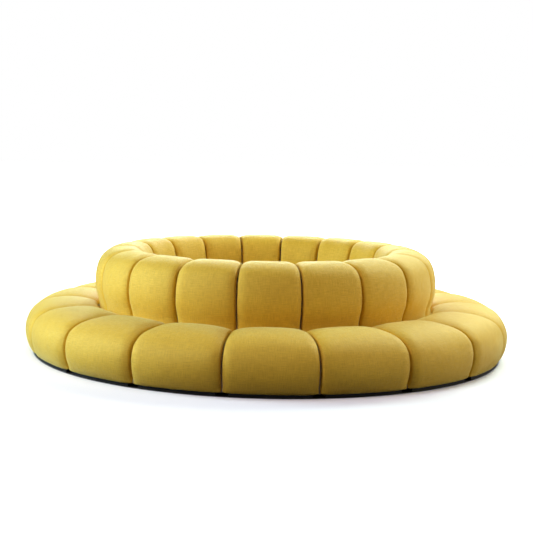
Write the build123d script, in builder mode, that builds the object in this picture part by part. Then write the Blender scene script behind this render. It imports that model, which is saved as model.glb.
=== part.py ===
from build123d import *
import math
import os

# Round sofa: a closed ring of wedge modules round an open middle, in millimetres.
# Z is up, the floor is Z = 0 and the ring's axis is the Z axis.
# Module 01 is centred on -Y and the numbers run anticlockwise seen from above.
# Each piece is drawn once on a wedge whose middle lies along +X, then turned to its place.

# The ring
module_count = 18
well_radius = 868.0  # of the open middle, to the fullest point of the back cushions
back_thickness = 422.0  # of the backrest, from the open middle to the crease at the seat
seat_depth = 544.0  # from the crease to the seat's fullest point
seat_height = 396.0
back_height = 789.0

# Base
pad_thickness = 3.0
pad_size = 40.0
pad_inset = 22.0  # from the plinth's edges to the pad
plinth_height = 24.0
plinth_recess = 31.0  # behind the hems of the cushions
plinth_side_gap = 42.0  # from the seam to the plinth's end

# Carcass
board_thickness = 15.0
base_thickness = 18.0
module_gap = 1.0  # from the seam to the side panel
front_padding = 67.0  # cushion in front of the front panel, at a seam
back_padding = 58.0  # cushion in front of the back panel, at a seam
inner_padding = 82.0  # cushion behind the inner panel
crown_padding = 131.0  # cushion over the top rail
seat_padding = 86.0  # cushion over the foam slab
slab_thickness = 70.0
slab_setback = 90.0  # from the front panel to the slab
slab_back_gap = 10.0  # from the crease to the slab
rail_width = 25.0
rail_height = 35.0

# Link plates
plate_width = 64.0
plate_length = 90.0
plate_thickness = 3.0
plate_setback = 75.0  # from the carcass's front or inner face to the plate

# Cushions
crown_run = 60.0  # from the seam to where a cushion starts to fall away
crown_draw = 5.0  # how far it has drawn in where the turn into the seam starts
seam_run = 28.0  # from the seam to the start of that turn
seam_draw = 22.0
seam_clearance = 0.3
fit_clearance = 0.3  # cushion to wood, cushion to cushion at the crease
hem_tuck = 28.0  # how far the seat's hem draws in under its fullest point
cheek_tuck = 10.0
shoulder_reach = 107.0  # from the seat's fullest point to the start of its top
shoulder_bow = 18.0
lumbar_swell = 15.0
back_bow = 17.0
roll_bow = 24.0
roll_reach = 57.0  # from the inner side's fullest point to the end of the roll over the top
inner_slope = 25.0
inner_hem_tuck = 14.0

bow_shares = (0.2, 0.4, 0.6, 0.8, 1.0)  # of a rounded shoulder or roll, where its facets meet

# Shares of the seat's depth from the crease, and of its rise over the hem
belly_share = 0.31
cheek_share = 0.58
shoulder_share = 0.87
brow_shares = (0.607, 0.96)
crest_shares = (0.37, 1.0)
dip_shares = (0.175, 0.978)
crease_share = 0.92

# Shares of the backrest's thickness from the crease, and of its rise over the crease
lumbar_share = 0.32
back_cheek_share = 0.65
back_shoulder_shares = (0.213, 0.93)
back_brow_shares = (0.4, 0.988)
back_crest_shares = (0.57, 1.0)
roll_share = 0.765
inner_slope_share = 0.46
inner_belly_share = 0.38  # of the whole back height

half_angle = 180 / module_count
first_angle = -90.0
slope = math.tan(math.radians(half_angle))
lean = math.cos(math.radians(half_angle))

crease_radius = well_radius + back_thickness
seat_radius = crease_radius + seat_depth
hem_height = pad_thickness + plinth_height
base_top = hem_height + base_thickness
slab_top = seat_height - seat_padding
deck_top = slab_top - slab_thickness
deck_bottom = deck_top - board_thickness
box_top = back_height - crown_padding
box_inside_top = box_top - board_thickness
crease_height = hem_height + crease_share * (seat_height - hem_height)

front_face = (seat_radius - front_padding) * lean
back_face = (crease_radius - back_padding) * lean
inner_face = well_radius + inner_padding
front_inside = front_face - board_thickness
back_inside = back_face - board_thickness
inner_inside = inner_face + board_thickness
side_inside = module_gap + board_thickness
slab_front = front_face - slab_setback
slab_back = crease_radius + slab_back_gap
plinth_outer = seat_radius - hem_tuck - plinth_recess
plinth_inner = well_radius + inner_hem_tuck + plinth_recess

# Planes: a seam of the wedge, and the mitre halfway between it and the wedge's middle
seam = Plane.XZ.rotated((0, 0, half_angle))
mitre = Plane.XZ.rotated((0, 0, half_angle / 2))
half_width = seat_radius * slope


def bowed(start, end, height):
    """Points along a shallow arc that bulges to the right of its way."""
    arc = SagittaArc(start, end, -height, mode=Mode.PRIVATE)
    return [arc @ share for share in bow_shares]


def seat_outline():
    """Section of a seat cushion, from the hem over the front and the top to the crease."""
    rise = seat_height - hem_height
    crease = crease_radius + fit_clearance

    def top_point(shares):
        return (crease_radius + shares[0] * seat_depth, hem_height + shares[1] * rise)

    cheek = (seat_radius - cheek_tuck, hem_height + cheek_share * rise)
    shoulder = (seat_radius - shoulder_reach, hem_height + shoulder_share * rise)
    with BuildLine() as section:
        Polyline(
            (crease, hem_height),
            (seat_radius - hem_tuck, hem_height),
            (seat_radius, hem_height + belly_share * rise),
            cheek,
            *bowed(cheek, shoulder, shoulder_bow),
            top_point(brow_shares),
            top_point(crest_shares),
            top_point(dip_shares),
            (crease, crease_height),
            close=True,
        )
    return section.edges()


def back_outline():
    """Section of a back cushion, from the crease over the top and down the inner side."""
    rise = back_height - crease_height

    def top_point(shares):
        return (crease_radius - shares[0] * back_thickness, crease_height + shares[1] * rise)

    cheek = (crease_radius, crease_height + back_cheek_share * rise)
    crest = top_point(back_crest_shares)
    roll = (well_radius + roll_reach, crease_height + roll_share * rise)
    with BuildLine() as section:
        Polyline(
            (crease_radius, hem_height),
            (crease_radius, crease_height),
            (crease_radius + lumbar_swell, crease_height + lumbar_share * rise),
            cheek,
            *bowed(cheek, top_point(back_shoulder_shares), back_bow),
            top_point(back_brow_shares),
            crest,
            *bowed(crest, roll, roll_bow),
            (well_radius + inner_slope, crease_height + inner_slope_share * rise),
            (well_radius, inner_belly_share * back_height),
            (well_radius + inner_hem_tuck, hem_height),
            close=True,
        )
    return section.edges()


def cushion_body(outline):
    """Wedge with a straight middle and mitred sides that draw in to both seams."""
    with BuildPart() as side:
        with BuildSketch(seam.offset(seam_clearance)):
            make_face(outline())
        extrude(amount=half_width)
        split(bisect_by=mitre, keep=Keep.BOTTOM)
        for run, draw in ((crown_run, crown_draw), (seam_run, seam_draw)):
            end = side.faces().filter_by(seam)[0]
            chamfer(end.edges().sort_by(Axis.Z)[1:], length=draw, length2=run, reference=end)
    with BuildPart() as body:
        with BuildSketch(Plane.XZ):
            make_face(outline())
        extrude(amount=-half_width)
        split(bisect_by=mitre, keep=Keep.TOP)
        add(side.part)
        mirror(body.part, about=Plane.XZ)
    return body


def side_y(x, gap):
    """Y of the line that runs at this gap inside the wedge's seam."""
    return x * slope - gap / lean


def wedge_outline(inner, outer, gap):
    """Straight-sided board between two X values, at a gap from both seams."""
    with BuildLine() as board:
        Polyline(
            (inner, -side_y(inner, gap)),
            (outer, -side_y(outer, gap)),
            (outer, side_y(outer, gap)),
            (inner, side_y(inner, gap)),
            close=True,
        )
    return board.edges()


def side_strip(inner, outer):
    """Footprint of a board that stands along the seam between two X values."""
    with BuildLine() as strip:
        Polyline(
            (inner, side_y(inner, module_gap)),
            (outer, side_y(outer, module_gap)),
            (outer, side_y(outer, side_inside)),
            (inner, side_y(inner, side_inside)),
            close=True,
        )
    return strip.edges()


def ring_corner(radius, gap):
    """Point on a circle round the axis at a gap inside the seam."""
    along = math.sqrt(radius**2 - gap**2)
    rise = math.radians(half_angle)
    return (
        along * math.cos(rise) + gap * math.sin(rise),
        along * math.sin(rise) - gap * math.cos(rise),
    )


def save(piece, label):
    piece.part.label = label
    export_step(piece.part, f"parts/{label}.step")


def save_ring(piece, label):
    """One node of separate solids, one piece in each module."""
    with BuildPart() as ring:
        with PolarLocations(0, module_count, start_angle=first_angle):
            add(piece.part)
    save(ring, label)


def save_modules(piece, label):
    """One numbered node in each module."""
    for number in range(module_count):
        turn = first_angle + number * 2 * half_angle
        with BuildPart() as copy:
            with Locations(Location((0, 0, 0), (0, 0, turn))):
                add(piece.part)
        save(copy, f"{label}_{number + 1:02d}")


os.makedirs("parts", exist_ok=True)

# Seat cushion: crowned, rolled over the front, hollow below for the slab, deck and front panel
seat_hollow_front = front_face + fit_clearance
seat_hollow_step = slab_front + fit_clearance
seat_hollow_deck = deck_top + fit_clearance
with BuildPart() as seat_cushion:
    add(cushion_body(seat_outline).part)
    with BuildSketch(Plane.XZ):
        with BuildLine():
            Polyline(
                (well_radius, 0),
                (well_radius, slab_top + fit_clearance),
                (seat_hollow_step, slab_top + fit_clearance),
                (seat_hollow_step, seat_hollow_deck),
                (seat_hollow_front, seat_hollow_deck),
                (seat_hollow_front, 0),
                close=True,
            )
        make_face()
    extrude(amount=half_width, both=True, mode=Mode.SUBTRACT)
save_modules(seat_cushion, "seat_cushion")

# Back cushion: rolled over the top and down the inner side, hollow for the back box
back_hollow_inner = inner_face - fit_clearance
back_hollow_front = back_face + fit_clearance
with BuildPart() as back_cushion:
    add(cushion_body(back_outline).part)
    with BuildSketch(Plane.XZ):
        with BuildLine():
            Polyline(
                (back_hollow_inner, 0),
                (back_hollow_inner, box_top + fit_clearance),
                (back_hollow_front, box_top + fit_clearance),
                (back_hollow_front, deck_top + fit_clearance),
                (seat_radius, deck_top + fit_clearance),
                (seat_radius, 0),
                close=True,
            )
        make_face()
    extrude(amount=half_width, both=True, mode=Mode.SUBTRACT)
save_modules(back_cushion, "back_cushion")

# Foam slab on the deck
with BuildPart() as foam_slab:
    with BuildSketch(Plane.XY.offset(deck_top)):
        make_face(wedge_outline(slab_back, slab_front, module_gap))
    extrude(amount=slab_thickness)
save_ring(foam_slab, "seat_foam_slabs")

# Deck over the front and side panels
with BuildPart() as seat_deck:
    with BuildSketch(Plane.XY.offset(deck_bottom)):
        make_face(wedge_outline(back_face, front_face, module_gap))
    extrude(amount=board_thickness)
save_ring(seat_deck, "seat_decks")

# Batten under the deck's middle and rail under its rear edge, between the side panels
batten_start = (back_face + front_inside - rail_width) / 2
with BuildPart() as deck_batten:
    with BuildSketch(Plane.XY.offset(deck_bottom)):
        make_face(wedge_outline(batten_start, batten_start + rail_width, side_inside))
    extrude(amount=-rail_height)
save_ring(deck_batten, "deck_battens")

with BuildPart() as rear_rail:
    with BuildSketch(Plane.XY.offset(deck_bottom)):
        make_face(wedge_outline(back_face, back_face + rail_width, side_inside))
    extrude(amount=-rail_height)
save_ring(rear_rail, "rear_rails")

# Upright panels across the module
with BuildPart() as front_panel:
    with BuildSketch(Plane.XY.offset(base_top)):
        make_face(wedge_outline(front_inside, front_face, module_gap))
    extrude(amount=deck_bottom - base_top)
save_ring(front_panel, "front_panels")

with BuildPart() as back_panel:
    with BuildSketch(Plane.XY.offset(base_top)):
        make_face(wedge_outline(back_inside, back_face, side_inside))
    extrude(amount=box_inside_top - base_top)
save_ring(back_panel, "back_panels")

with BuildPart() as inner_panel:
    with BuildSketch(Plane.XY.offset(base_top)):
        make_face(wedge_outline(inner_face, inner_inside, module_gap))
    extrude(amount=box_inside_top - base_top)
save_ring(inner_panel, "inner_panels")

# Side panel: low under the seat, high in the back box
with BuildPart() as side_panel_left:
    with BuildSketch(Plane.XY.offset(base_top)):
        make_face(side_strip(inner_inside, front_inside))
    extrude(amount=deck_bottom - base_top)
    with BuildSketch(Plane.XY.offset(deck_bottom)):
        make_face(side_strip(inner_inside, back_face))
    extrude(amount=box_inside_top - deck_bottom)
save_ring(side_panel_left, "side_panels_left")

with BuildPart() as side_panel_right:
    mirror(side_panel_left.part, about=Plane.XZ)
save_ring(side_panel_right, "side_panels_right")

# Top rail closes the back box
with BuildPart() as top_rail:
    with BuildSketch(Plane.XY.offset(box_inside_top)):
        make_face(wedge_outline(inner_face, back_face, module_gap))
    extrude(amount=board_thickness)
save_ring(top_rail, "top_rails")

# Base board under the whole carcass
with BuildPart() as base_board:
    with BuildSketch(Plane.XY.offset(hem_height)):
        make_face(wedge_outline(inner_face, front_face, module_gap))
    extrude(amount=base_thickness)
save_ring(base_board, "base_boards")

# Plinth: curved front and inner edges, short of both seams
outer_x, outer_y = ring_corner(plinth_outer, plinth_side_gap)
inner_x, inner_y = ring_corner(plinth_inner, plinth_side_gap)
with BuildPart() as plinth:
    with BuildSketch(Plane.XY.offset(pad_thickness)):
        with BuildLine():
            ThreePointArc((outer_x, -outer_y), (plinth_outer, 0), (outer_x, outer_y))
            Line((outer_x, outer_y), (inner_x, inner_y))
            ThreePointArc((inner_x, inner_y), (plinth_inner, 0), (inner_x, -inner_y))
            Line((inner_x, -inner_y), (outer_x, -outer_y))
        make_face()
    extrude(amount=plinth_height)
save_ring(plinth, "plinths")

# Foot pads in the plinth's corners
pad_edge = pad_inset + pad_size / 2
pad_gap = plinth_side_gap + pad_edge
outer_pad_x, outer_pad_y = ring_corner(plinth_outer - pad_edge, pad_gap)
inner_pad_x, inner_pad_y = ring_corner(plinth_inner + pad_edge, pad_gap)
with BuildPart() as foot_pad:
    with BuildSketch():
        with Locations(
            (outer_pad_x, outer_pad_y),
            (outer_pad_x, -outer_pad_y),
            (inner_pad_x, inner_pad_y),
            (inner_pad_x, -inner_pad_y),
        ):
            Rectangle(pad_size, pad_size)
    extrude(amount=pad_thickness)
save_ring(foot_pad, "foot_pads")

# Link plates under the base boards, across each seam
outer_plate_radius = (front_face - plate_setback) / lean
inner_plate_radius = (inner_face + plate_setback) / lean
for label, radius in (
    ("outer_link_plates", outer_plate_radius),
    ("inner_link_plates", inner_plate_radius),
):
    with BuildPart() as plates:
        with BuildSketch(Plane.XY.offset(hem_height)):
            with PolarLocations(radius, module_count, start_angle=first_angle + half_angle):
                Rectangle(plate_length, plate_width)
        extrude(amount=-plate_thickness)
    save(plates, label)
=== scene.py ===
import math
import random

import bmesh
import bpy
import numpy as np
from mathutils import Matrix, Vector, noise


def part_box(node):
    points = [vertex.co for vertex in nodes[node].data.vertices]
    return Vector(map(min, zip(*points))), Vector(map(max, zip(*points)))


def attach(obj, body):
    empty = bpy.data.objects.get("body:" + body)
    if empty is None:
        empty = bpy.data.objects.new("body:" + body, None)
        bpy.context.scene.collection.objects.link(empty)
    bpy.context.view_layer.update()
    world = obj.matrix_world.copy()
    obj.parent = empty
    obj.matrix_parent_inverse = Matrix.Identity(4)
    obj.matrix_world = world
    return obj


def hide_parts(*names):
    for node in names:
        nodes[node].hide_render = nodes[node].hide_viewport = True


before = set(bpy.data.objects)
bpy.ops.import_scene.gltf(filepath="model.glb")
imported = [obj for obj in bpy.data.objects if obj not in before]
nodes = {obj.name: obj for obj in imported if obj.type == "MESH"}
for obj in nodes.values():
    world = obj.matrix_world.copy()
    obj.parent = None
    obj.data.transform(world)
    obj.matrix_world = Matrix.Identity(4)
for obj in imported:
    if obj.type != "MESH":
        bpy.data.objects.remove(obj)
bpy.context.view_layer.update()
print("frame loaded:", len(nodes), "nodes")

# Lengths are in metres. Module 01 faces -Y, and the rest follow anticlockwise from above.
ring = {
    "modules": 18,
    "halfAngle": math.radians(10),
    "seamGap": 0.0060,  # from a cushion's rim to the plane between two modules
    "footGap": 0.0012,  # and from its flank, down at the boards
}


# Helpers for materials

def newMaterial(name):
    material = bpy.data.materials.new(name)
    material.use_nodes = True
    return material, material.node_tree, material.node_tree.nodes["Principled BSDF"]


def addNode(tree, kind, inputs=None, **settings):
    node = tree.nodes.new(kind)
    for name, value in settings.items():
        setattr(node, name, value)
    for key, value in (inputs or {}).items():
        if isinstance(value, bpy.types.NodeSocket):
            tree.links.new(value, node.inputs[key])
        else:
            node.inputs[key].default_value = value
    return node


def calc(tree, operation, *values):
    return addNode(tree, "ShaderNodeMath", dict(enumerate(values)), operation=operation).outputs[0]


def remap(tree, value, low, high, toLow=0.0, toHigh=1.0):
    inputs = {"Value": value, "From Min": low, "From Max": high, "To Min": toLow, "To Max": toHigh}
    return addNode(tree, "ShaderNodeMapRange", inputs).outputs[0]


def stretched(tree, place, scale, detail=2.0, turn=(0, 0, 0)):
    # noise drawn out along the axes with the small scales
    inputs = {"Vector": place, "Scale": scale, "Rotation": turn}
    mapped = addNode(tree, "ShaderNodeMapping", inputs).outputs[0]
    inputs = {"Vector": mapped, "Scale": 1.0, "Detail": detail}
    return addNode(tree, "ShaderNodeTexNoise", inputs).outputs["Fac"]


def openedOut(tree, noiseValue, half, toLow=0.0, toHigh=1.0):
    # noise keeps near 0.5, so the middle of its range, this far to each side, is spread out
    return remap(tree, noiseValue, 0.5 - half, 0.5 + half, toLow, toHigh)


def blendColours(tree, factor, first, second):
    node = addNode(tree, "ShaderNodeMix", {0: factor}, data_type="RGBA")
    for socket, value in ((node.inputs[6], first), (node.inputs[7], second)):
        if isinstance(value, bpy.types.NodeSocket):
            tree.links.new(value, socket)
        else:
            socket.default_value = (*value, 1)
    return node.outputs[2]


def bump(tree, shader, height, strength, distance, under=None):
    inputs = {"Height": height, "Strength": strength, "Distance": distance}
    if under is not None:
        inputs["Normal"] = under
    normal = addNode(tree, "ShaderNodeBump", inputs).outputs[0]
    tree.links.new(normal, shader.inputs["Normal"])
    return normal


# Cushion shapes

seatCushion = {
    # radius and height from the front panel's foot, round the hem, over the top, down at the crease
    "outline": [
        (1.7660, 0.0275), (1.7765, 0.0262), (1.7825, 0.0225), (1.7895, 0.0222), (1.7960, 0.0300),
        (1.8075, 0.0520), (1.8200, 0.0860), (1.8315, 0.1300), (1.8365, 0.1820), (1.8310, 0.2340),
        (1.8125, 0.2830), (1.7770, 0.3230), (1.7280, 0.3520), (1.6680, 0.3710), (1.6000, 0.3810),
        (1.5200, 0.3875), (1.4500, 0.3860), (1.3850, 0.3780), (1.3350, 0.3660), (1.3040, 0.3520),
        (1.2925, 0.3380), (1.2905, 0.3105),
    ],
    # the boards behind it: distance from the ring's axis, height, share of the outline's length
    "boards": [
        (1.7407, 0.0275, 0), (1.7407, 0.2405, 0.25), (1.6507, 0.2405, 0.36), (1.6507, 0.3105, 0.44),
        (1.2707, 0.3105, 1),
    ],
    "hiddenStart": 0.055,  # length of the outline under the hem that stays put
    "hiddenEnd": 0.040,  # and down in the crease
    "spacing": 0.0165,  # from one row of points to the next
    "acrossSteps": 14,  # columns of points from a shoulder to the middle
    "shoulder": (0.074, 0.019),  # width of the soft fall beside a seam, and its height
    "seamRadius": 0.011,  # the tight turn into the seam
    "seamDepth": 0.022,
    "crown": 0.011,  # how much fuller the middle is
}
backCushion = {
    # from the crease, up the front, over the top, down the side that faces the open middle
    "outline": [
        (1.2893, 0.2405), (1.2885, 0.3000), (1.2800, 0.3180), (1.2725, 0.3360), (1.2720, 0.3600),
        (1.2790, 0.3950), (1.2935, 0.4370), (1.3035, 0.4780), (1.3085, 0.5230), (1.3070, 0.5730),
        (1.2990, 0.6270), (1.2825, 0.6810), (1.2545, 0.7260), (1.2110, 0.7590), (1.1540, 0.7790),
        (1.0950, 0.7870), (1.0400, 0.7880), (0.9930, 0.7770), (0.9560, 0.7500), (0.9310, 0.7080),
        (0.9145, 0.6550), (0.9010, 0.5900), (0.8880, 0.5100), (0.8760, 0.4000), (0.8690, 0.2900),
        (0.8690, 0.1900), (0.8730, 0.1000), (0.8790, 0.0550), (0.8880, 0.0330), (0.9040, 0.0275),
        (0.9490, 0.0275),
    ],
    "boards": [
        (1.2704, 0.2405, 0), (1.2136, 0.2405, 0.06), (1.2136, 0.6585, 0.28), (0.9497, 0.6585, 0.58),
        (0.9497, 0.0275, 1),
    ],
    "hiddenStart": 0.115,
    "hiddenEnd": 0.045,
    "spacing": 0.0165,
    "acrossSteps": 9,
    "shoulder": (0.062, 0.016),
    "seamRadius": 0.010,
    "seamDepth": 0.020,
    "crown": 0.010,
}
bothCushions = {
    "seamTurns": (0, 24, 48, 70, 90),  # degrees round the turn into the seam, one column each
    "shoulderColumns": (0.30, 0.46, 0.66, 0.90),  # shares of the shoulder's width
    "flankColumn": 0.18,  # share of the way from the rim to the boards
    "crownPower": 2.2,  # a higher power keeps the middle flatter
}
puff = {
    # the cloth simulation
    "pressure": 4.0,
    "frames": 20,
    "quality": 5,
    "mass": 0.3,
    "tension": 18.0,
    "shear": 5.0,
    "bending": 0.6,
    "cap": 0.022,  # the most that a point may move
    # what is made of its swell
    "drawn": 0.25,  # share of the crown that is there before the swell
    "evening": 12,  # rounds of smoothing
    "drift": 0.6,  # share of the way to its neighbours' mean that a point goes in a round
    "fullest": 97,  # percentile of the swell that is set to the crown
}
handmade = {
    # small unevenness, different on every cushion
    "seed": 41,
    "slow": (0.0030, 4.2),  # height and waves per metre
    "quick": (0.0006, 21.0),
    "sewn": 0.995,  # points held as much as this stay out of both
}
gathers = {
    # fine folds that run out from the seams
    "height": 0.0022,
    "wavesAlong": 26.0,  # per metre along the seam
    "wavesOut": 4.0,
    "start": 0.012,  # distance from the seam at which they have come up
    "reach": 0.042,  # distance over which they die away
    "least": 0.02,  # share of their height under which they are left out
}


def smoothLine(points, spacing, pieces=24):
    # Catmull-Rom through the points, in pieces between them, then equal steps along the curve
    p = np.array(points, float)
    p = np.vstack([2 * p[0] - p[1], p, 2 * p[-1] - p[-2]])
    t = np.linspace(0, 1, pieces, endpoint=False)[:, None]
    fine = [
        0.5 * (2 * b + (c - a) * t + (2 * a - 5 * b + 4 * c - d) * t**2 + (3 * b - a - 3 * c + d) * t**3)
        for a, b, c, d in zip(p, p[1:], p[2:], p[3:])
    ]
    fine = np.vstack([*fine, p[-2:-1]])
    along = np.concatenate([[0], np.cumsum(np.hypot(*np.diff(fine, axis=0).T))])
    steps = np.linspace(0, along[-1], int(round(along[-1] / spacing)) + 1)
    line = np.column_stack([np.interp(steps, along, fine[:, axis]) for axis in (0, 1)])
    tangent = np.gradient(line, axis=0)
    tangent /= np.linalg.norm(tangent, axis=1)[:, None]
    return line, tangent, steps


def ease(value, low, high):
    # 0 up to low, 1 from high on, and a soft rise between them
    t = min(max((value - low) / (high - low), 0), 1)
    return t * t * (3 - 2 * t)


def seamInset(spec, distance, halfWidth, crown):
    # how far the skin lies under the cushion's fullest line
    side = 1 - min(distance / halfWidth, 1)
    inset = crown * side ** bothCushions["crownPower"]
    reach, fall = spec["shoulder"]
    inset += fall * max(1 - distance / reach, 0) ** 2
    if distance < spec["seamRadius"]:
        inset += spec["seamDepth"] * (1 - math.sqrt(1 - (1 - distance / spec["seamRadius"]) ** 2))
    return inset


def wedgePoint(radius, distance, side, height):
    # distance is measured from the flank on that side of module 01
    angle = side * (ring["halfAngle"] - math.asin((distance + ring["seamGap"]) / radius))
    return (radius * math.sin(angle), -radius * math.cos(angle), height)


def boardPoint(out, side, height):
    # a point on a board, which runs straight across the module
    across = out * math.tan(ring["halfAngle"]) - ring["footGap"] / math.cos(ring["halfAngle"])
    return (side * across, -out, height)


def cushionPoints(spec, crown):
    # the skin's rows from seam to seam, then the flanks' points, two to each row and side
    line, tangent, steps = smoothLine(spec["outline"], spec["spacing"])
    outward = np.column_stack([tangent[:, 1], -tangent[:, 0]])
    length, rows = steps[-1], len(steps)
    turns = [math.radians(turn) for turn in bothCushions["seamTurns"]]
    nearSeam = [spec["seamRadius"] * (1 - math.cos(turn)) for turn in turns]
    nearSeam += [spec["shoulder"][0] * share for share in bothCushions["shoulderColumns"]]
    columns = 2 * (len(nearSeam) + spec["acrossSteps"]) - 1
    places, keep, uvs = [], [], []
    for i in range(rows):
        radius, height = line[i]
        free = ease(steps[i], 0, spec["hiddenStart"]) * ease(length - steps[i], 0, spec["hiddenEnd"])
        halfWidth = radius * math.sin(ring["halfAngle"]) - ring["seamGap"]
        middle = np.linspace(nearSeam[-1], halfWidth, spec["acrossSteps"] + 1)[1:]
        reach = nearSeam + list(middle)
        for side, distance in [(-1, d) for d in reach] + [(1, d) for d in reach[-2::-1]]:
            drop = seamInset(spec, distance, halfWidth, crown) * free
            skinRadius, skinHeight = radius - outward[i, 0] * drop, height - outward[i, 1] * drop
            places.append(wedgePoint(skinRadius, distance, side, skinHeight))
            calm = ease(distance, 0.5 * spec["seamRadius"], spec["shoulder"][0])
            keep.append(1 - calm * free)
            uvs.append((side * (halfWidth - distance), steps[i]))
    boards = np.array(spec["boards"])
    for i in range(rows):
        share = steps[i] / length
        out, height = (np.interp(share, boards[:, 2], boards[:, axis]) for axis in (0, 1))
        for side, column in ((-1, 0), (1, columns - 1)):
            rim = Vector(places[i * columns + column])
            foot = Vector(boardPoint(out, side, height))
            edge = uvs[i * columns + column]
            for blend in (bothCushions["flankColumn"], 1.0):
                places.append(tuple(rim.lerp(foot, blend)))
                keep.append(1)
                uvs.append((edge[0] + side * blend * (foot - rim).length, edge[1]))
    return places, keep, uvs, rows, columns


def cushionFaces(rows, columns):
    # cloth on the skin, and a near-black lining on the flanks and on the side that lies on the boards:
    # painted shade for the seams
    cloth, seamShaded = [], []
    last = columns - 1
    flanks = [range(first, first + 4) for first in range(rows * columns, rows * (columns + 4), 4)]
    for i in range(rows - 1):
        here, there = i * columns, (i + 1) * columns
        cloth += [(here + j, here + j + 1, there + j + 1, there + j) for j in range(last)]
        left, leftFoot, right, rightFoot = flanks[i]
        nextLeft, nextLeftFoot, nextRight, nextRightFoot = flanks[i + 1]
        seamShaded += [
            (here, there, nextLeft, left),
            (left, nextLeft, nextLeftFoot, leftFoot),
            (there + last, here + last, right, nextRight),
            (nextRight, right, rightFoot, nextRightFoot),
            (leftFoot, nextLeftFoot, nextRightFoot, rightFoot),
        ]
    for i in (0, rows - 1):
        left, leftFoot, right, rightFoot = flanks[i]
        seamShaded.append((leftFoot, left, *range(i * columns, (i + 1) * columns), right, rightFoot))
    return cloth, seamShaded


def cushionMesh(name, spec, crown):
    # a closed skin with its cloth map, and how firmly each point is held
    places, keep, uvs, rows, columns = cushionPoints(spec, crown)
    cloth, seamShaded = cushionFaces(rows, columns)
    mesh = bpy.data.meshes.new(name)
    mesh.from_pydata(places, [], cloth + seamShaded)
    mesh.polygons.foreach_set("material_index", [0] * len(cloth) + [1] * len(seamShaded))
    mesh.update()
    corner = np.zeros(len(mesh.loops), np.int32)
    mesh.loops.foreach_get("vertex_index", corner)
    mesh.uv_layers.new(name="cloth").data.foreach_set("uv", np.array(uvs)[corner].ravel())
    shell = bmesh.new()
    shell.from_mesh(mesh)
    bmesh.ops.recalc_face_normals(shell, faces=shell.faces)
    shell.to_mesh(mesh)
    shell.free()
    return mesh, np.array(keep), columns, rows * columns


def coordinates(mesh):
    flat = np.empty(len(mesh.vertices) * 3, np.float32)
    mesh.vertices.foreach_get("co", flat)
    return flat.reshape(-1, 3).astype(float)


def setCoordinates(mesh, places):
    mesh.vertices.foreach_set("co", places.astype(np.float32).ravel())
    mesh.update()


def workpiece(name, mesh, keep):
    piece = bpy.data.objects.new(name, mesh)
    bpy.context.collection.objects.link(piece)
    group = piece.vertex_groups.new(name="sewn")
    for index, weight in enumerate(keep):
        group.add([index], float(weight), "REPLACE")
    return piece


def puffed(mesh, keep):
    # cloth filled with air: the sewn edges hold and the panels swell
    pad = workpiece("filling", mesh.copy(), keep)
    cloth = pad.modifiers.new("cloth", "CLOTH")
    settings = cloth.settings
    settings.quality = puff["quality"]
    settings.mass = puff["mass"]
    settings.tension_stiffness = settings.compression_stiffness = puff["tension"]
    settings.shear_stiffness = puff["shear"]
    settings.bending_stiffness = puff["bending"]
    settings.use_pressure = True
    settings.uniform_pressure_force = puff["pressure"]
    settings.vertex_group_mass = "sewn"
    settings.effector_weights.gravity = 0
    cloth.point_cache.frame_start, cloth.point_cache.frame_end = 1, puff["frames"]
    for step in range(1, puff["frames"] + 1):
        bpy.context.scene.frame_set(step)
    settled = pad.evaluated_get(bpy.context.evaluated_depsgraph_get())
    move = coordinates(settled.to_mesh()) - coordinates(mesh)
    settled.to_mesh_clear()
    bpy.data.objects.remove(pad)
    bpy.context.scene.frame_set(1)
    size = np.linalg.norm(move, axis=1)
    return move * np.minimum(1, puff["cap"] / np.maximum(size, 1e-9))[:, None]


def evened(move, keep, columns, skinCount):
    # takes out single dents: each point of the skin drifts towards its neighbours
    grid = move[:skinCount].reshape(-1, columns, 3)
    loose = 1 - keep[:skinCount].reshape(-1, columns, 1)
    for _ in range(puff["evening"]):
        padded = np.pad(grid, ((1, 1), (1, 1), (0, 0)), mode="edge")
        around = padded[:-2, 1:-1] + padded[2:, 1:-1] + padded[1:-1, :-2] + padded[1:-1, 2:]
        grid = grid + puff["drift"] * loose * (around / 4 - grid)
    return np.vstack([grid.reshape(-1, 3), move[skinCount:]])


def subdivided(mesh, keep, name):
    # the weights ride along as a vertex group
    work = workpiece("dividing", mesh, keep)
    modifier = work.modifiers.new("divide", "SUBSURF")
    modifier.levels = modifier.render_levels = 1
    graph = bpy.context.evaluated_depsgraph_get()
    result = bpy.data.meshes.new_from_object(
        work.evaluated_get(graph), preserve_all_data_layers=True, depsgraph=graph
    )
    weights = np.array([sum(entry.weight for entry in vertex.groups) for vertex in result.vertices])
    bpy.data.objects.remove(work)
    result.name = name
    return result, weights


def masterCushion(name, spec):
    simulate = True
    drawn = spec["crown"] * (puff["drawn"] if simulate else 1)
    mesh, keep, columns, skinCount = cushionMesh(name, spec, drawn)
    if simulate:
        move = evened(puffed(mesh, keep), keep, columns, skinCount)
        most = np.percentile(np.linalg.norm(move, axis=1)[:skinCount], puff["fullest"])
        setCoordinates(mesh, coordinates(mesh) + move * (spec["crown"] / max(most, 1e-6)))
        print("  ", name, "swelled by %.1f mm before it was set to its crown" % (1000 * most))
    result, weights = subdivided(mesh, keep, name)
    result.polygons.foreach_set("use_smooth", np.ones(len(result.polygons), bool))
    return result, weights


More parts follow.
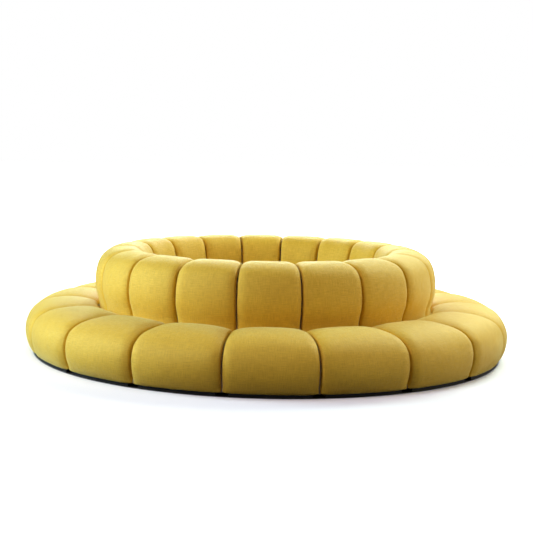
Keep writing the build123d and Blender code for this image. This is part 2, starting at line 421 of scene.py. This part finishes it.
def unevenness(places, weights, shift):
    # how far each point of a cushion stands out or in
    radius = np.hypot(places[:, 0], places[:, 1])
    fromSeam = radius * np.sin(ring["halfAngle"] - np.arctan2(np.abs(places[:, 0]), -places[:, 1]))
    fromSeam = np.maximum(fromSeam, 0)
    gathered = np.exp(-fromSeam / gathers["reach"]) * np.minimum(1, fromSeam / gathers["start"])
    stretch = Vector((gathers["wavesOut"], gathers["wavesAlong"], gathers["wavesAlong"]))
    lift = np.zeros(len(places))
    for index, (place, weight) in enumerate(zip(places, weights)):
        point = Vector(place)
        if weight < handmade["sewn"]:
            for height, waves in (handmade["slow"], handmade["quick"]):
                lift[index] += height * noise.noise(point * waves + shift) * (1 - weight)
        if gathered[index] > gathers["least"]:
            lift[index] += gathers["height"] * gathered[index] * noise.noise(point * stretch + shift)
    return lift


def ownCushion(master, weights, number, offset):
    # one cushion from the master, uneven in its own way and turned to its module
    copy = master.copy()
    places = coordinates(master)
    normals = np.empty(len(places) * 3, np.float32)
    master.vertex_normals.foreach_get("vector", normals)
    draw = random.Random(handmade["seed"] + offset + number)
    shift = Vector([draw.uniform(-50, 50) for _ in range(3)])  # its own part of the noise
    places = places + normals.reshape(-1, 3) * unevenness(places, weights, shift)[:, None]
    turn = Matrix.Rotation(2 * ring["halfAngle"] * number, 3, "Z")
    setCoordinates(copy, places @ np.array(turn).T)
    uv = np.empty(len(copy.loops) * 2, np.float32)
    copy.uv_layers["cloth"].data.foreach_get("uv", uv)
    uv = uv.reshape(-1, 2) + (draw.uniform(0, 20), draw.uniform(0, 20))  # no two cut from one place
    copy.uv_layers["cloth"].data.foreach_set("uv", uv.astype(np.float32).ravel())
    return copy


# Cover fabric: a plain weave of slubbed yarn, laid out in metres on each cushion's own map

weave = {
    "pitch": 0.0032,  # from one yarn to the next
    "light": (0.84, 0.522, 0.040),
    "dark": (0.60, 0.336, 0.019),
    "slubAlong": 16.0,  # waves per metre along a yarn
    "slubAcross": 230.0,
    "paintedYarnShade": 0.62,  # painted shade: tone down between the yarns
    "fullTone": 0.8,  # share of a yarn's height from which it has no painted shade
    "mottle": (0.86, 1.12),  # slow change of tone
    "mottleWaves": 7,  # per metre
    "roughness": (0.68, 0.54),  # of a thin yarn and a thick one
    "specular": 0.8,
    "specularTint": (1.0, 0.98, 0.45, 1),
    "sheen": 0.65,
    "sheenRoughness": 0.3,
    "sheenTint": (0.97, 1.0, 0.50, 1),
    "slubRelief": (0.5, 0.0008),  # strength and height
    "yarnRelief": (0.55, 0.0009),
}


def coverFabric():
    material, tree, shader = newMaterial("mustardWeave")
    cloth = addNode(tree, "ShaderNodeUVMap", uv_map="cloth").outputs[0]
    axes = addNode(tree, "ShaderNodeSeparateXYZ", {0: cloth}).outputs[:2]
    turns = [calc(tree, "SINE", calc(tree, "MULTIPLY", axis, math.pi / weave["pitch"])) for axis in axes]
    arches = [calc(tree, "ABSOLUTE", turn) for turn in turns]
    over = calc(tree, "GREATER_THAN", calc(tree, "MULTIPLY", *turns), 0.0)
    under = calc(tree, "SUBTRACT", 1.0, over)

    def onTop(warp, weft):
        # takes turns at each crossing, as the yarns of a plain weave do
        return calc(tree, "ADD", calc(tree, "MULTIPLY", warp, over), calc(tree, "MULTIPLY", weft, under))

    along, across = weave["slubAlong"], weave["slubAcross"]
    warpSlubs = openedOut(tree, stretched(tree, cloth, (across, along, 1)), 0.16)
    weftSlubs = openedOut(tree, stretched(tree, cloth, (along, across, 1)), 0.16)
    height, yarn = onTop(*arches), onTop(warpSlubs, weftSlubs)
    place = addNode(tree, "ShaderNodeTexCoord").outputs["Object"]
    clouds = stretched(tree, place, (weave["mottleWaves"],) * 3, 3.0)
    mottle = openedOut(tree, clouds, 0.2, *weave["mottle"])
    # painted shade: the low parts of the weave are darker
    depth = remap(tree, height, 0.0, weave["fullTone"], weave["paintedYarnShade"], 1.0)
    tone = calc(tree, "MULTIPLY", calc(tree, "MULTIPLY", yarn, depth), mottle)
    tree.links.new(blendColours(tree, tone, weave["dark"], weave["light"]), shader.inputs["Base Color"])
    tree.links.new(remap(tree, yarn, 0, 1, *weave["roughness"]), shader.inputs["Roughness"])
    shader.inputs["Specular IOR Level"].default_value = weave["specular"]
    shader.inputs["Specular Tint"].default_value = weave["specularTint"]
    shader.inputs["Sheen Weight"].default_value = weave["sheen"]
    shader.inputs["Sheen Roughness"].default_value = weave["sheenRoughness"]
    shader.inputs["Sheen Tint"].default_value = weave["sheenTint"]
    slubs = bump(tree, shader, yarn, *weave["slubRelief"])
    bump(tree, shader, height, *weave["yarnRelief"], slubs)
    return material


seamShadeLook = {
    # near-black: painted shade down in the seams
    "colours": ((0.030, 0.017, 0.007), (0.050, 0.029, 0.012)),
    "threads": (30, 900),  # waves per metre along a thread and across it
    "woven": (0.7, 1.3),  # part of the two threads' sum that is spread over the pattern
    "roughness": (0.95, 0.85),
    "specular": 0.0,
    "relief": (0.4, 0.0004),
}


def seamShadeCloth():
    # near-black lining on the sides that stand against the next module: painted shade that makes the seams
    # dark
    material, tree, shader = newMaterial("brownSeamShade")
    cloth = addNode(tree, "ShaderNodeUVMap", uv_map="cloth").outputs[0]
    along, across = seamShadeLook["threads"]
    threads = [stretched(tree, cloth, scale) for scale in ((across, along, 1), (along, across, 1))]
    woven = remap(tree, calc(tree, "ADD", *threads), *seamShadeLook["woven"])
    tree.links.new(blendColours(tree, woven, *seamShadeLook["colours"]), shader.inputs["Base Color"])
    tree.links.new(remap(tree, woven, 0, 1, *seamShadeLook["roughness"]), shader.inputs["Roughness"])
    shader.inputs["Specular IOR Level"].default_value = seamShadeLook["specular"]
    bump(tree, shader, woven, *seamShadeLook["relief"])
    return material


# the second finish is the painted shade in the seams
fabric, seamShade = coverFabric(), seamShadeCloth()
print("cushions")
for prefix, spec, offset in (("seat", seatCushion, 0), ("back", backCushion, 100)):
    master, weights = masterCushion(prefix + "Master", spec)
    master.materials.clear()
    master.materials.append(fabric)
    master.materials.append(seamShade)
    for number in range(ring["modules"]):
        name = "%s_cover_%02d" % (prefix, number + 1)
        mesh = ownCushion(master, weights, number, offset)
        mesh.name = name
        piece = bpy.data.objects.new(name, mesh)
        bpy.context.collection.objects.link(piece)
        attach(piece, "root")
        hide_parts("%s_cushion_%02d" % (prefix, number + 1))
    print("  ", ring["modules"], prefix, "cushions of", len(master.vertices), "points")

# Finishes of the parts that keep their CAD shape. Waves and cells are per metre, a relief is its
# strength and height, and the first colour or roughness goes to the low values of the pattern.

patternStep = 1.37  # from one module to the next through a pattern, so that no two are alike


def modulePlace(tree, lean=0.0):
    # object coordinates turned back to module 01, and the same set apart for each module
    place = addNode(tree, "ShaderNodeTexCoord").outputs["Object"]
    split = addNode(tree, "ShaderNodeSeparateXYZ", {0: place}).outputs
    bearing = calc(tree, "ADD", calc(tree, "ARCTAN2", split["Y"], split["X"]), math.pi / 2)
    number = calc(tree, "ROUND", calc(tree, "DIVIDE", bearing, 2 * ring["halfAngle"]))
    back = calc(tree, "SUBTRACT", lean, calc(tree, "MULTIPLY", number, 2 * ring["halfAngle"]))
    inputs = {"Vector": place, "Angle": back}
    turned = addNode(tree, "ShaderNodeVectorRotate", inputs, rotation_type="Z_AXIS").outputs[0]
    step = calc(tree, "MULTIPLY", number, patternStep)
    shift = addNode(tree, "ShaderNodeCombineXYZ", {0: step, 1: step, 2: step}).outputs[0]
    own = addNode(tree, "ShaderNodeVectorMath", {0: turned, 1: shift}, operation="ADD").outputs[0]
    return turned, own


birch = {
    "colours": ((0.74, 0.58, 0.39), (0.60, 0.44, 0.27)),
    "figure": (4, 38),  # waves along the grain and across it
    "figureMost": 0.85,  # the most that the figure takes the second colour
    "pores": (14, 420),
    "poreTone": 0.9,
    "ply": 0.0015,  # thickness of one layer
    "edge": 0.72,  # how dark every second layer is
    "blur": 0.3,  # softness of the line between two layers
    "roughness": (0.68, 0.52),
    "relief": (0.3, 0.0002),
}


def plywood(name, thickness, grain, lean=0.0):
    # figured faces, and the layers wherever a cut edge shows; thickness and grain name axes
    material, tree, shader = newMaterial(name)
    turned, own = modulePlace(tree, lean)
    depth = addNode(tree, "ShaderNodeSeparateXYZ", {0: turned}).outputs[thickness]
    turns = calc(tree, "MULTIPLY", depth, math.pi / birch["ply"])
    layer = remap(tree, calc(tree, "SINE", turns), -birch["blur"], birch["blur"])
    broad, fine = (
        tuple(along if axis == grain else across for axis in "XYZ")
        for along, across in (birch["figure"], birch["pores"])
    )
    figure = openedOut(tree, stretched(tree, own, broad, 4.0), 0.16)
    pores = remap(tree, stretched(tree, own, fine), 0.36, 0.60)
    tinge = calc(tree, "MULTIPLY", figure, birch["figureMost"])
    wood = blendColours(tree, tinge, *birch["colours"])
    layerShade = remap(tree, layer, 0, 1, 1, birch["edge"])
    shade = calc(tree, "MULTIPLY", layerShade, remap(tree, pores, 0, 1, birch["poreTone"], 1))
    tint = addNode(tree, "ShaderNodeVectorMath", {0: wood, "Scale": shade}, operation="SCALE").outputs[0]
    tree.links.new(tint, shader.inputs["Base Color"])
    tree.links.new(remap(tree, pores, 0, 1, *birch["roughness"]), shader.inputs["Roughness"])
    bump(tree, shader, calc(tree, "ADD", pores, layer), *birch["relief"])
    return material


pine = {
    "colours": ((0.80, 0.62, 0.40), (0.66, 0.43, 0.22)),
    "swell": (1.6, 26),  # waves along the grain and across it
    "fibres": (9, 500),
    "growthRings": 60,
    "ringShare": 0.8,  # of the tone, and the fibres have the rest
    "roughness": (0.5, 0.66),
    "relief": (0.35, 0.0002),
}


def softwood(name):
    # planed pine with growth rings, grain across the module
    material, tree, shader = newMaterial(name)
    own = modulePlace(tree)[1]
    (swellAlong, swellAcross), (fibreAlong, fibreAcross) = pine["swell"], pine["fibres"]
    swell = stretched(tree, own, (swellAlong, swellAcross, swellAcross), 1.0)
    waves = calc(tree, "SINE", calc(tree, "MULTIPLY", swell, pine["growthRings"]))
    rings = remap(tree, waves, -0.2, 1.0)
    fibres = openedOut(tree, stretched(tree, own, (fibreAlong, fibreAcross, fibreAcross)), 0.15)
    ringTone = calc(tree, "MULTIPLY", rings, pine["ringShare"])
    mixed = calc(tree, "ADD", ringTone, calc(tree, "MULTIPLY", fibres, 1 - pine["ringShare"]))
    tree.links.new(blendColours(tree, mixed, *pine["colours"]), shader.inputs["Base Color"])
    tree.links.new(remap(tree, fibres, 0, 1, *pine["roughness"]), shader.inputs["Roughness"])
    bump(tree, shader, mixed, *pine["relief"])
    return material


foam = {
    "colours": ((0.88, 0.84, 0.70), (0.74, 0.69, 0.54)),
    "cells": 420.0,
    "wireWaves": (6, 6, 90),
    "wireShare": 0.4,  # how much they show beside the cells
    "roughness": (0.85, 1.0),
    "specular": 0.2,
    "relief": (0.6, 0.0012),
}


def cutFoam(name):
    # open cells, with the faint waves of the cutting wire
    material, tree, shader = newMaterial(name)
    place = addNode(tree, "ShaderNodeTexCoord").outputs["Object"]
    inputs = {"Vector": place, "Scale": foam["cells"]}
    cells = addNode(tree, "ShaderNodeTexVoronoi", inputs).outputs["Distance"]
    waves = stretched(tree, place, foam["wireWaves"], 1.0)
    both = calc(tree, "ADD", cells, calc(tree, "MULTIPLY", waves, foam["wireShare"]))
    tone = remap(tree, both, 0.2, 0.9)
    tree.links.new(blendColours(tree, tone, *foam["colours"]), shader.inputs["Base Color"])
    tree.links.new(remap(tree, cells, 0, 0.7, *foam["roughness"]), shader.inputs["Roughness"])
    shader.inputs["Specular IOR Level"].default_value = foam["specular"]
    bump(tree, shader, tone, *foam["relief"])
    return material


felt = {
    "colours": ((0.030, 0.030, 0.032), (0.085, 0.084, 0.082)),
    "fibres": (120, 1400, 600),
    "turns": (35, -50),  # degrees that each of the two layers of fibres is turned
    "roughness": (1.0, 0.88),
    "sheen": 0.3,
    "relief": (0.7, 0.0008),
}


def pressedFelt(name):
    material, tree, shader = newMaterial(name)
    place = addNode(tree, "ShaderNodeTexCoord").outputs["Object"]
    turns = [(0, 0, math.radians(turn)) for turn in felt["turns"]]
    fibres = [stretched(tree, place, felt["fibres"], 3.0, turn) for turn in turns]
    matted = remap(tree, calc(tree, "MAXIMUM", *fibres), 0.42, 0.72)
    tree.links.new(blendColours(tree, matted, *felt["colours"]), shader.inputs["Base Color"])
    tree.links.new(remap(tree, matted, 0, 1, *felt["roughness"]), shader.inputs["Roughness"])
    shader.inputs["Sheen Weight"].default_value = felt["sheen"]
    bump(tree, shader, matted, *felt["relief"])
    return material


lacquer = {
    "colours": ((0.008, 0.008, 0.009), (0.015, 0.015, 0.016)),
    "cloud": (9, 9, 40),
    "peel": (700, 700, 700),
    "dust": (0.060, 0.056, 0.050),
    "dustHeights": (0.003, 0.012),  # thickest at the first, gone at the second
    "dustMost": 0.5,
    "roughness": (0.42, 0.75),
    "specular": 0.08,
    "relief": (0.25, 0.0001),
}


def blackLacquer(name):
    # satin black board, dusty along its foot
    material, tree, shader = newMaterial(name)
    place = addNode(tree, "ShaderNodeTexCoord").outputs["Object"]
    height = addNode(tree, "ShaderNodeSeparateXYZ", {0: place}).outputs["Z"]
    cloud = openedOut(tree, stretched(tree, place, lacquer["cloud"], 3.0), 0.15)
    peel = stretched(tree, place, lacquer["peel"], 1.0)
    low = calc(tree, "MULTIPLY", remap(tree, height, *lacquer["dustHeights"], 1, 0), cloud)
    coat = blendColours(tree, cloud, *lacquer["colours"])
    dusty = blendColours(tree, calc(tree, "MULTIPLY", low, lacquer["dustMost"]), coat, lacquer["dust"])
    tree.links.new(dusty, shader.inputs["Base Color"])
    rough = remap(tree, calc(tree, "ADD", cloud, low), 0, 2, *lacquer["roughness"])
    tree.links.new(rough, shader.inputs["Roughness"])
    shader.inputs["Specular IOR Level"].default_value = lacquer["specular"]
    bump(tree, shader, peel, *lacquer["relief"])
    return material


zinc = {
    "colours": ((0.60, 0.61, 0.63), (0.74, 0.75, 0.77)),
    "crystals": 160.0,
    "rub": (40, 900, 40),
    "rubRoughness": 0.12,  # added where it is rubbed
    "roughness": (0.26, 0.40),
    "relief": (0.15, 0.0001),
}


def zincPlate(name):
    # plated steel: crystals of slightly different tone, lightly rubbed
    material, tree, shader = newMaterial(name)
    place = addNode(tree, "ShaderNodeTexCoord").outputs["Object"]
    inputs = {"Vector": place, "Scale": zinc["crystals"]}
    crystal = addNode(tree, "ShaderNodeTexVoronoi", inputs).outputs["Color"]
    tone = addNode(tree, "ShaderNodeSeparateXYZ", {0: crystal}).outputs["X"]
    rubbed = openedOut(tree, stretched(tree, place, zinc["rub"], 2.0), 0.15)
    tree.links.new(blendColours(tree, tone, *zinc["colours"]), shader.inputs["Base Color"])
    rubRough = calc(tree, "MULTIPLY", rubbed, zinc["rubRoughness"])
    rough = calc(tree, "ADD", remap(tree, tone, 0, 1, *zinc["roughness"]), rubRough)
    tree.links.new(rough, shader.inputs["Roughness"])
    shader.inputs["Metallic"].default_value = 1.0
    bump(tree, shader, rubbed, *zinc["relief"])
    return material


plateSteel = zincPlate("zincPlate")
facing = plywood("birchFacing", "Y", "X")
level = plywood("birchLevel", "Z", "X")
rails = softwood("planedPine")
finishes = {
    "foot_pads": pressedFelt("pressedFelt"),
    "plinths": blackLacquer("blackLacquer"),
    "front_panels": facing,
    "back_panels": facing,
    "inner_panels": facing,
    "side_panels_left": plywood("birchSideLeft", "X", "Y", -ring["halfAngle"]),
    "side_panels_right": plywood("birchSideRight", "X", "Y", ring["halfAngle"]),
    "base_boards": level,
    "seat_decks": level,
    "top_rails": level,
    "deck_battens": rails,
    "rear_rails": rails,
    "seat_foam_slabs": cutFoam("cutFoam"),
    "outer_link_plates": plateSteel,
    "inner_link_plates": plateSteel,
}
for name, material in finishes.items():
    for slot in nodes[name].material_slots:
        slot.material = material
print("finishes on", len(finishes), "CAD nodes")

# Screws that hold the link plates, four to a plate

plateScrews = {
    "headSize": 0.0105,
    "out": 0.030,  # from the plate's middle, along the seam
    "across": 0.018,  # and to each side of it
    "plateHalf": 0.045,  # half the plate's length along the seam
    "seed": 7,
}


def screwHead():
    # a low dome with a hexagonal recess, one unit across, pointing down
    dome = [(0.50, 0.0), (0.50, -0.10), (0.45, -0.22), (0.32, -0.30), (0.25, -0.31)]
    recess = [(0.21, -0.31), (0.21, -0.10)]
    flatShare = math.cos(math.pi / 6)  # a hexagon's flats against its corners
    sides = 12
    shell = bmesh.new()
    loops = []
    for radius, height in dome + recess:
        between = radius * (flatShare if (radius, height) in recess else 1)
        loop = []
        for k in range(sides):
            reach = between if k % 2 else radius
            turn = 2 * math.pi * k / sides
            loop.append(shell.verts.new((reach * math.cos(turn), reach * math.sin(turn), height)))
        loops.append(loop)
    for upper, lower in zip(loops, loops[1:]):
        for k in range(sides):
            after = (k + 1) % sides
            shell.faces.new((upper[k], upper[after], lower[after], lower[k]))
    shell.faces.new(loops[0])
    shell.faces.new(loops[-1])
    bmesh.ops.recalc_face_normals(shell, faces=shell.faces)
    mesh = bpy.data.meshes.new("screwHead")
    shell.to_mesh(mesh)
    shell.free()
    head = bpy.data.objects.new("screwHead", mesh)
    bpy.context.collection.objects.link(head)
    return head


def screwTree(material):
    # a head at each point, turned at random, as real geometry
    tree = bpy.data.node_groups.new("screwsAtPoints", "GeometryNodeTree")
    sockets = {}
    for name, kind in (("Points", "Geometry"), ("Head", "Object"), ("Head size", "Float"), ("Seed", "Int")):
        sockets[name] = tree.interface.new_socket(name, in_out="INPUT", socket_type="NodeSocket" + kind)
    tree.interface.new_socket("Screws", in_out="OUTPUT", socket_type="NodeSocketGeometry")
    start = addNode(tree, "NodeGroupInput").outputs
    head = addNode(tree, "GeometryNodeObjectInfo", {"Object": start["Head"]}).outputs["Geometry"]
    inputs = {2: 0.0, 3: 2 * math.pi, "Seed": start["Seed"]}
    spin = addNode(tree, "FunctionNodeRandomValue", inputs, data_type="FLOAT").outputs[1]
    turn = addNode(tree, "ShaderNodeCombineXYZ", {"Z": spin}).outputs[0]
    inputs = {"Points": start["Points"], "Instance": head, "Rotation": turn, "Scale": start["Head size"]}
    placed = addNode(tree, "GeometryNodeInstanceOnPoints", inputs).outputs[0]
    real = addNode(tree, "GeometryNodeRealizeInstances", {0: placed}).outputs[0]
    finished = addNode(tree, "GeometryNodeSetMaterial", {"Geometry": real, "Material": material}).outputs[0]
    addNode(tree, "NodeGroupOutput", {0: finished})
    return tree, sockets


points = []
for node in ("outer_link_plates", "inner_link_plates"):
    low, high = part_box(node)
    radius = high.x - plateScrews["plateHalf"]  # one seam lies on the X axis
    for number in range(ring["modules"]):
        turn = Matrix.Rotation(2 * ring["halfAngle"] * number, 3, "Z")
        for out in (-plateScrews["out"], plateScrews["out"]):
            for side in (-plateScrews["across"], plateScrews["across"]):
                points.append(turn @ Vector((radius + out, side, low.z)))
pointMesh = bpy.data.meshes.new("screwPoints")
pointMesh.from_pydata(points, [], [])
carrier = bpy.data.objects.new("screwCarrier", pointMesh)
bpy.context.collection.objects.link(carrier)
head = screwHead()
tree, sockets = screwTree(plateSteel)
modifier = carrier.modifiers.new("screws", "NODES")
modifier.node_group = tree
modifier[sockets["Head"].identifier] = head
modifier[sockets["Head size"].identifier] = plateScrews["headSize"]
modifier[sockets["Seed"].identifier] = plateScrews["seed"]
graph = bpy.context.evaluated_depsgraph_get()
screwMesh = bpy.data.meshes.new_from_object(carrier.evaluated_get(graph), depsgraph=graph)
for helper in (carrier, head):
    bpy.data.objects.remove(helper)
screws = bpy.data.objects.new("plate_screws", screwMesh)
bpy.context.collection.objects.link(screws)
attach(screws, "root")
print("screws:", len(points))

# Floor, lamps and camera

floorLook = {
    "size": 60,  # from the middle to each edge
    "bounce": 0.04,  # what the floor gives back to the sofa
    "sideways": 1.8,  # its tones run from left to right over this distance each way
    "seen": ((0.95, 0.86, 0.83), (0.95, 0.98, 1.17)),  # its tone for the camera, left and right, painted against the colours of the lamps on each side
    "near": (1.770, 1.87, 0.21),  # its own white, from this distance to this, and how much
    "far": (3.0, 6.0, 0.96),
    "whiteness": ((0.95, 0.98, 1.10), (0.89, 0.98, 1.18)),  # tone of that white, left and right, painted against the colours of the lamps on each side
    "paintedShadow": (0.90, 1.775),  # the floor under the sofa, darkened: a painted shadow
    "paintedShadowTone": 0.06,
    "paintedShadowEdges": (0.02, 0.015),  # how softly it ends, inside and outside
}
size = floorLook["size"]
corners = [(-size, -size, 0), (size, -size, 0), (size, size, 0), (-size, size, 0)]
floorMesh = bpy.data.meshes.new("floor")
floorMesh.from_pydata(corners, [], [(0, 1, 2, 3)])
floor = bpy.data.objects.new("floor", floorMesh)
bpy.context.collection.objects.link(floor)


def seenRay(tree):
    # 1 where the camera looks, straight on or by way of gloss and glass
    path = addNode(tree, "ShaderNodeLightPath").outputs
    gloss = calc(tree, "MAXIMUM", path["Is Glossy Ray"], path["Is Transmission Ray"])
    return calc(tree, "MAXIMUM", path["Is Camera Ray"], gloss)


paleFloor, tree, shader = newMaterial("paleFloor")
seen = seenRay(tree)
place = addNode(tree, "ShaderNodeTexCoord").outputs["Object"]
distance = addNode(tree, "ShaderNodeVectorMath", {0: place}, operation="LENGTH").outputs["Value"]
nearWhite = remap(tree, distance, *floorLook["near"][:2], 0.0, floorLook["near"][2])
farWhite = remap(tree, distance, *floorLook["far"][:2], 0.0, floorLook["far"][2])
glow = calc(tree, "ADD", nearWhite, farWhite)
# painted shadow: the floor under the sofa is darkened
inner, outer = floorLook["paintedShadow"]
innerEdge, outerEdge = floorLook["paintedShadowEdges"]
within = remap(tree, distance, inner - innerEdge, inner)
beyond = remap(tree, distance, outer, outer + outerEdge)
paintedShadow = calc(tree, "MULTIPLY", within, calc(tree, "SUBTRACT", 1.0, beyond))
shadowScale = remap(tree, paintedShadow, 0, 1, 1, floorLook["paintedShadowTone"])
# painted tint: the floor's colour runs from left to right against the lamps' colours
toRight = addNode(tree, "ShaderNodeSeparateXYZ", {0: place}).outputs["X"]
sideways = remap(tree, toRight, -floorLook["sideways"], floorLook["sideways"])
toned = blendColours(tree, sideways, *floorLook["seen"])
grey = blendColours(tree, seen, (floorLook["bounce"],) * 3, toned)
tinted = addNode(tree, "ShaderNodeVectorMath", {0: grey, "Scale": shadowScale}, operation="SCALE").outputs[0]
tree.links.new(tinted, shader.inputs["Base Color"])
shader.inputs["Roughness"].default_value = 0.9
shader.inputs["Specular IOR Level"].default_value = 0.0
tree.links.new(blendColours(tree, sideways, *floorLook["whiteness"]), shader.inputs["Emission Color"])
tree.links.new(calc(tree, "MULTIPLY", glow, seen), shader.inputs["Emission Strength"])
floorMesh.materials.append(paleFloor)

studio = {"sky": 0.04, "background": 1.0}
world = bpy.data.worlds.new("studio")
bpy.context.scene.world = world
world.use_nodes = True
tree = world.node_tree
strength = remap(tree, seenRay(tree), 0, 1, studio["sky"], studio["background"])
tree.nodes["Background"].inputs["Color"].default_value = (1, 1, 1, 1)
tree.links.new(strength, tree.nodes["Background"].inputs["Strength"])

lamps = {
    "front": {"place": (0, -8.0, 6.0), "size": 4.0, "power": 30, "colour": (1.0, 0.86, 0.72)},
    "left": {"place": (-6.5, -0.6, 2.5), "size": 3.0, "power": 452, "colour": (0.69, 0.97, 1.0)},
    "leftFront": {"place": (-5.0, -5.5, 5.2), "size": 3.0, "power": 275, "colour": (0.97, 0.87, 0.92)},
    "rightBack": {"place": (5.0, 3.8, 5.0), "size": 3.5, "power": 575, "colour": (0.87, 1.0, 0.76)},
    "rightLow": {"place": (6.4, -1.7, 2.1), "size": 3.5, "power": 168, "colour": (0.98, 0.88, 0.66)},
    "behind": {"place": (0, 7.0, 4.0), "size": 4.0, "power": 465, "colour": (0.86, 0.97, 1.0)},
}
lampAim = Vector((0, 0, 0.3))
for name, lamp in lamps.items():
    light = bpy.data.lights.new(name, "AREA")
    light.size = lamp["size"]
    light.energy = lamp["power"]
    light.color = lamp["colour"]
    holder = bpy.data.objects.new(name, light)
    holder.location = lamp["place"]
    holder.rotation_euler = (lampAim - Vector(lamp["place"])).to_track_quat("-Z", "Y").to_euler()
    bpy.context.collection.objects.link(holder)
print("lamps:", len(lamps))

cameraSetup = {
    "place": (-0.2625, -8.8755, 1.6344),
    "heading": math.radians(-1.959),  # clockwise from +Y
    "pitch": math.radians(2.928),  # downwards
    "roll": math.radians(0.651),
    "sensor": 36,
    "lens": 77.06,
    "shift": (0.1389, -0.1331),
}
cameraData = bpy.data.cameras.new("camera")
cameraData.sensor_width = cameraSetup["sensor"]
cameraData.lens = cameraSetup["lens"]
cameraData.shift_x, cameraData.shift_y = cameraSetup["shift"]
camera = bpy.data.objects.new("camera", cameraData)
bpy.context.collection.objects.link(camera)
turn = Matrix.Rotation(-cameraSetup["heading"], 3, "Z")
turn = turn @ Matrix.Rotation(math.pi / 2 - cameraSetup["pitch"], 3, "X")
turn = turn @ Matrix.Rotation(cameraSetup["roll"], 3, "Z")
camera.matrix_world = Matrix.LocRotScale(Vector(cameraSetup["place"]), turn.to_quaternion(), None)
bpy.context.scene.camera = camera
bpy.context.scene.view_settings.view_transform = "Standard"
